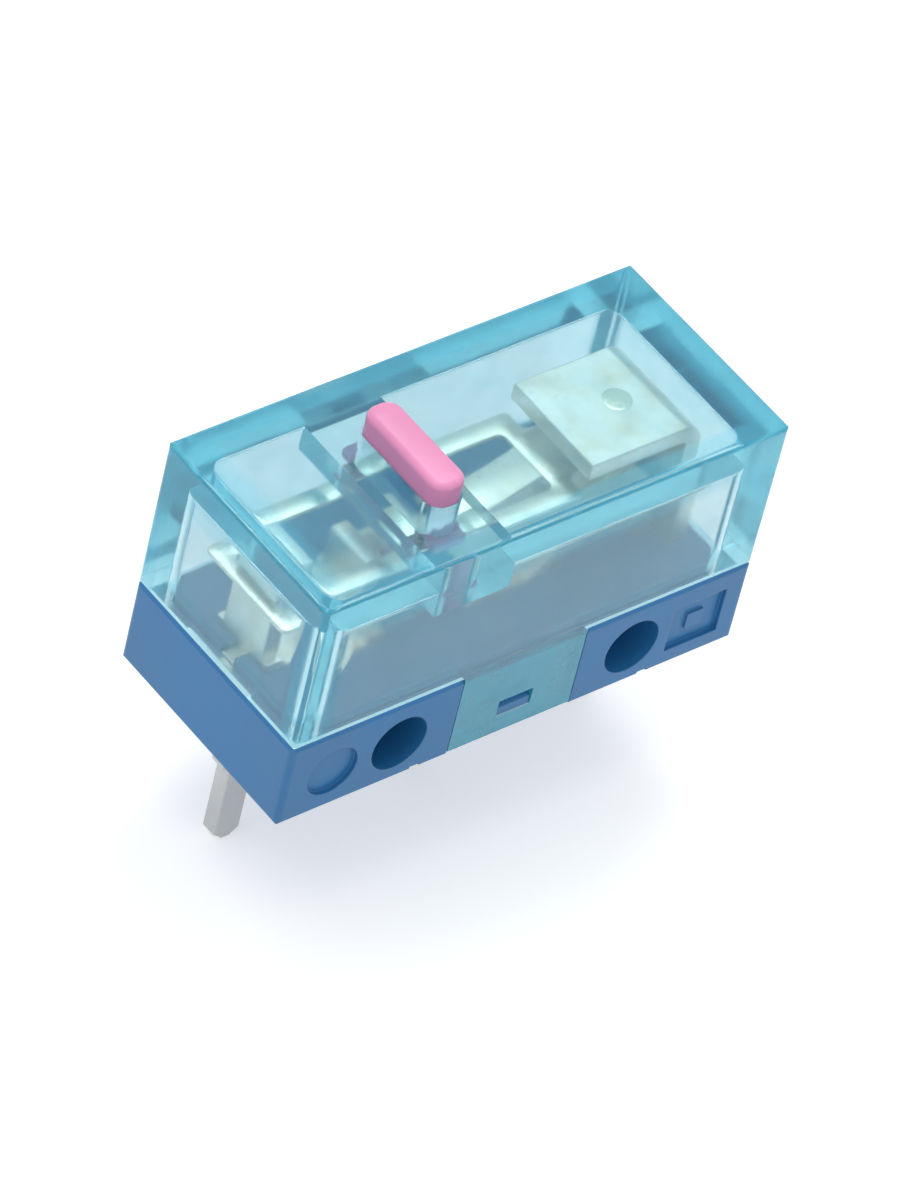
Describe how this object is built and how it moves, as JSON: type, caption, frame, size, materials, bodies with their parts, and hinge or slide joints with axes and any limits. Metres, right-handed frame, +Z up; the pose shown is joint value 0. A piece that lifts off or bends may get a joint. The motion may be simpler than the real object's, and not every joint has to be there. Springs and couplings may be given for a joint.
{
  "type": "snap-action micro switch",
  "caption": "Subminiature snap-action switch with a clear cover, a rounded push button and a row of straight solder pins.",
  "frame": {"origin": "centre of the base's underside, which seats on the circuit board", "axes": "+X along the body from terminal 1 to terminal 3, +Z up towards the plunger, -Y is the side with the moulded marks"},
  "size_m": [0.0128, 0.0058, 0.0106],
  "materials": {
    "base_plastic": "moulded, satin",
    "clear_cover": "clear, tinted cyan",
    "plunger_plastic": "moulded, smooth",
    "terminal_metal": "tin plated",
    "spring_metal": "rolled copper alloy, plated",
    "contact_metal": "polished, plated"
  },
  "bodies": {
    "case": {"base": "base_plastic", "cover": "clear_cover", "common_terminal": "terminal_metal", "normally_open_terminal": "terminal_metal", "normally_closed_terminal": "terminal_metal", "normally_open_contact": "contact_metal", "normally_closed_contact": "contact_metal"},
    "plunger": {"plunger": "plunger_plastic"},
    "blade": {"snap_spring": "spring_metal", "moving_contact": "contact_metal"}
  },
  "joints": [
    {"name": "plunger_press", "type": "slide", "parent": "case", "child": "plunger", "axis": [0, 0, -1], "range_m": [0, 0.0005], "stiffness_N_per_m": 1400, "springref_m": -0.0002},
    {"name": "contact_snap", "type": "slide", "parent": "case", "child": "blade", "axis": [0, 0, -1], "range_m": [0, 0.0005], "deforming": ["snap_spring"]}
  ],
  "couplings": [
    {"joint": "contact_snap", "follows": "plunger_press", "ratio": 1}
  ]
}
